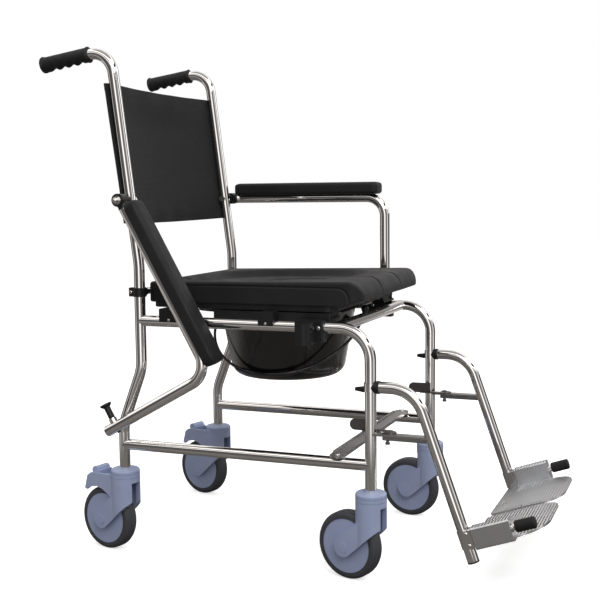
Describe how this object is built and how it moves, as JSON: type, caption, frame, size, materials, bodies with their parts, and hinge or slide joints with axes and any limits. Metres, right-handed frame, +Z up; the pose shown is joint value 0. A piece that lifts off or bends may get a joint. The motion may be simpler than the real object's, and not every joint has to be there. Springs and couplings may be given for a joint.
{
  "type": "commode chair",
  "caption": "Wheeled hospital commode chair: bent chromed tube frame, padded seat with lift-out insert over a sliding pan, drop-down arms, swing-away leg rests, braked casters.",
  "frame": {"origin": "on the floor, under the middle of the chair's outline", "axes": "+Z up; the user faces -Y; +X is the user's left"},
  "size_m": [0.568, 1.0318, 1.0399],
  "materials": {
    "chrome_tube": "polished",
    "bright_hardware": "polished",
    "plated_steel": "satin",
    "cast_aluminium": "satin",
    "black_moulding": "matte",
    "pan_plastic": "gloss",
    "skinned_foam": "matte",
    "backrest_fabric": "woven",
    "grip_rubber": "matte",
    "tyre_rubber": "matte",
    "caster_plastic": "satin"
  },
  "bodies": {
    "frame": {"right_back_tube": "chrome_tube", "left_back_tube": "chrome_tube", "right_front_tube": "chrome_tube", "left_front_tube": "chrome_tube", "lower_side_rails": "chrome_tube", "front_cross_tube": "chrome_tube", "lower_cross_bar": "plated_steel", "rear_cross_rod": "bright_hardware", "rod_clamps": "bright_hardware", "backrest_sling": "backrest_fabric", "push_grips": "grip_rubber", "arm_pivot_bolts": "bright_hardware", "arm_sockets": "black_moulding", "seat_rests": "black_moulding", "pan_guides": "black_moulding", "frame_screws": "bright_hardware", "caster_stems": "bright_hardware", "leg_plugs": "black_moulding"},
    "seat": {"seat_base": "black_moulding", "seat_pad": "skinned_foam", "seat_hinge_straps": "plated_steel"},
    "insert": {"seat_insert": "skinned_foam"},
    "pan_tray": {"pan": "pan_plastic"},
    "pan_bail": {"pan_handle": "pan_plastic"},
    "right_arm": {"right_arm_tube": "chrome_tube", "right_arm_knuckle": "black_moulding", "right_arm_pad": "skinned_foam"},
    "right_plunger": {"right_arm_plunger": "black_moulding"},
    "right_leg_rest": {"right_hanger_tube": "chrome_tube", "right_hanger_collar": "black_moulding", "right_hanger_bracket": "plated_steel"},
    "right_latch": {"right_latch_lever": "black_moulding"},
    "right_foot_carrier": {"right_footrest_clamp": "plated_steel", "right_footrest_knob": "grip_rubber"},
    "right_foot_plate": {"right_footplate": "cast_aluminium"},
    "front_right_swivel": {"front_right_fork": "caster_plastic"},
    "front_right_wheel": {"front_right_hub": "caster_plastic", "front_right_tyre": "tyre_rubber"},
    "rear_right_swivel": {"rear_right_fork": "caster_plastic"},
    "rear_right_wheel": {"rear_right_hub": "caster_plastic", "rear_right_tyre": "tyre_rubber"},
    "rear_right_brake": {"rear_right_brake_pedal": "caster_plastic"},
    "left_arm": {"left_arm_tube": "chrome_tube", "left_arm_knuckle": "black_moulding", "left_arm_pad": "skinned_foam"},
    "left_plunger": {"left_arm_plunger": "black_moulding"},
    "left_leg_rest": {"left_hanger_tube": "chrome_tube", "left_hanger_collar": "black_moulding", "left_hanger_bracket": "plated_steel"},
    "left_latch": {"left_latch_lever": "black_moulding"},
    "left_foot_carrier": {"left_footrest_clamp": "plated_steel", "left_footrest_knob": "grip_rubber"},
    "left_foot_plate": {"left_footplate": "cast_aluminium"},
    "front_left_swivel": {"front_left_fork": "caster_plastic"},
    "front_left_wheel": {"front_left_hub": "caster_plastic", "front_left_tyre": "tyre_rubber"},
    "rear_left_swivel": {"rear_left_fork": "caster_plastic"},
    "rear_left_wheel": {"rear_left_hub": "caster_plastic", "rear_left_tyre": "tyre_rubber"},
    "rear_left_brake": {"rear_left_brake_pedal": "caster_plastic"}
  },
  "joints": [
    {"name": "right_arm_raise", "type": "hinge", "parent": "frame", "child": "right_arm", "pos_m": [-0.259, 0.3161, 0.73], "axis": [-1, 0, 0], "range_deg": [0, 60.7]},
    {"name": "right_plunger_pull", "type": "slide", "parent": "right_arm", "child": "right_plunger", "axis": [0, 0.4894, 0.8721], "range_m": [0, 0.006]},
    {"name": "right_leg_rest_swing", "type": "hinge", "parent": "frame", "child": "right_leg_rest", "pos_m": [-0.22, -0.1904, 0.377], "axis": [0, 0, -1], "range_deg": [0, 95]},
    {"name": "right_latch_release", "type": "hinge", "parent": "right_leg_rest", "child": "right_latch", "pos_m": [-0.22, -0.2234, 0.288], "axis": [0, 0, -1], "range_deg": [0, 25]},
    {"name": "right_footrest_height", "type": "slide", "parent": "right_leg_rest", "child": "right_foot_carrier", "axis": [0, 0.3338, 0.9426], "range_m": [-0.015, 0.06]},
    {"name": "right_foot_plate_fold", "type": "hinge", "parent": "right_foot_carrier", "child": "right_foot_plate", "pos_m": [-0.22, -0.37252, 0.10557], "axis": [0, -0.9426, 0.3338], "range_deg": [0, 90]},
    {"name": "front_right_caster_swivel", "type": "hinge", "parent": "frame", "child": "front_right_swivel", "pos_m": [-0.22, -0.1904, 0.15], "axis": [0, 0, 1], "continuous": true},
    {"name": "front_right_wheel_spin", "type": "hinge", "parent": "front_right_swivel", "child": "front_right_wheel", "pos_m": [-0.20758, -0.14404, 0.066], "axis": [0.9659, -0.2588, 0], "continuous": true},
    {"name": "rear_right_caster_swivel", "type": "hinge", "parent": "frame", "child": "rear_right_swivel", "pos_m": [-0.22, 0.3446, 0.15], "axis": [0, 0, 1], "continuous": true},
    {"name": "rear_right_wheel_spin", "type": "hinge", "parent": "rear_right_swivel", "child": "rear_right_wheel", "pos_m": [-0.2092, 0.39137, 0.066], "axis": [0.9744, -0.225, 0], "continuous": true},
    {"name": "rear_right_brake_press", "type": "hinge", "parent": "rear_right_swivel", "child": "rear_right_brake", "pos_m": [-0.2065, 0.40306, 0.15], "axis": [-0.9744, 0.225, 0], "range_deg": [0, 10]},
    {"name": "left_arm_drop", "type": "hinge", "parent": "frame", "child": "left_arm", "pos_m": [0.259, 0.3161, 0.73], "axis": [1, 0, 0], "range_deg": [0, 60.7]},
    {"name": "left_plunger_pull", "type": "slide", "parent": "left_arm", "child": "left_plunger", "axis": [0, 1, 0], "range_m": [0, 0.006]},
    {"name": "left_leg_rest_swing", "type": "hinge", "parent": "frame", "child": "left_leg_rest", "pos_m": [0.22, -0.1904, 0.377], "axis": [0, 0, 1], "range_deg": [0, 95]},
    {"name": "left_latch_release", "type": "hinge", "parent": "left_leg_rest", "child": "left_latch", "pos_m": [0.22, -0.2234, 0.288], "axis": [0, 0, 1], "range_deg": [0, 25]},
    {"name": "left_footrest_height", "type": "slide", "parent": "left_leg_rest", "child": "left_foot_carrier", "axis": [0, 0.3338, 0.9426], "range_m": [-0.015, 0.06]},
    {"name": "left_foot_plate_fold", "type": "hinge", "parent": "left_foot_carrier", "child": "left_foot_plate", "pos_m": [0.22, -0.37252, 0.10557], "axis": [0, 0.9426, -0.3338], "range_deg": [0, 90]},
    {"name": "front_left_caster_swivel", "type": "hinge", "parent": "frame", "child": "front_left_swivel", "pos_m": [0.22, -0.1904, 0.15], "axis": [0, 0, 1], "continuous": true},
    {"name": "front_left_wheel_spin", "type": "hinge", "parent": "front_left_swivel", "child": "front_left_wheel", "pos_m": [0.22751, -0.14299, 0.066], "axis": [0.9877, -0.1564, 0], "continuous": true},
    {"name": "rear_left_caster_swivel", "type": "hinge", "parent": "frame", "child": "rear_left_swivel", "pos_m": [0.22, 0.3446, 0.15], "axis": [0, 0, 1], "continuous": true},
    {"name": "rear_left_wheel_spin", "type": "hinge", "parent": "rear_left_swivel", "child": "rear_left_wheel", "pos_m": [0.23242, 0.39096, 0.066], "axis": [0.9659, -0.2588, 0], "continuous": true},
    {"name": "rear_left_brake_press", "type": "hinge", "parent": "rear_left_swivel", "child": "rear_left_brake", "pos_m": [0.23553, 0.40256, 0.15], "axis": [-0.9659, 0.2588, 0], "range_deg": [0, 10]},
    {"name": "seat_tip_up", "type": "hinge", "parent": "frame", "child": "seat", "pos_m": [0, 0.2996, 0.544], "axis": [-1, 0, 0], "range_deg": [0, 70]},
    {"name": "seat_insert_lift", "type": "slide", "parent": "seat", "child": "insert", "axis": [0, 0, 1], "range_m": [0, 0.04]},
    {"name": "pan_slide", "type": "slide", "parent": "frame", "child": "pan_tray", "axis": [0, 1, 0], "range_m": [0, 0.3]},
    {"name": "pan_handle_lift", "type": "hinge", "parent": "pan_tray", "child": "pan_bail", "pos_m": [0, 0.0646, 0.474], "axis": [0, 1, 0], "range_deg": [0, 38]}
  ]
}
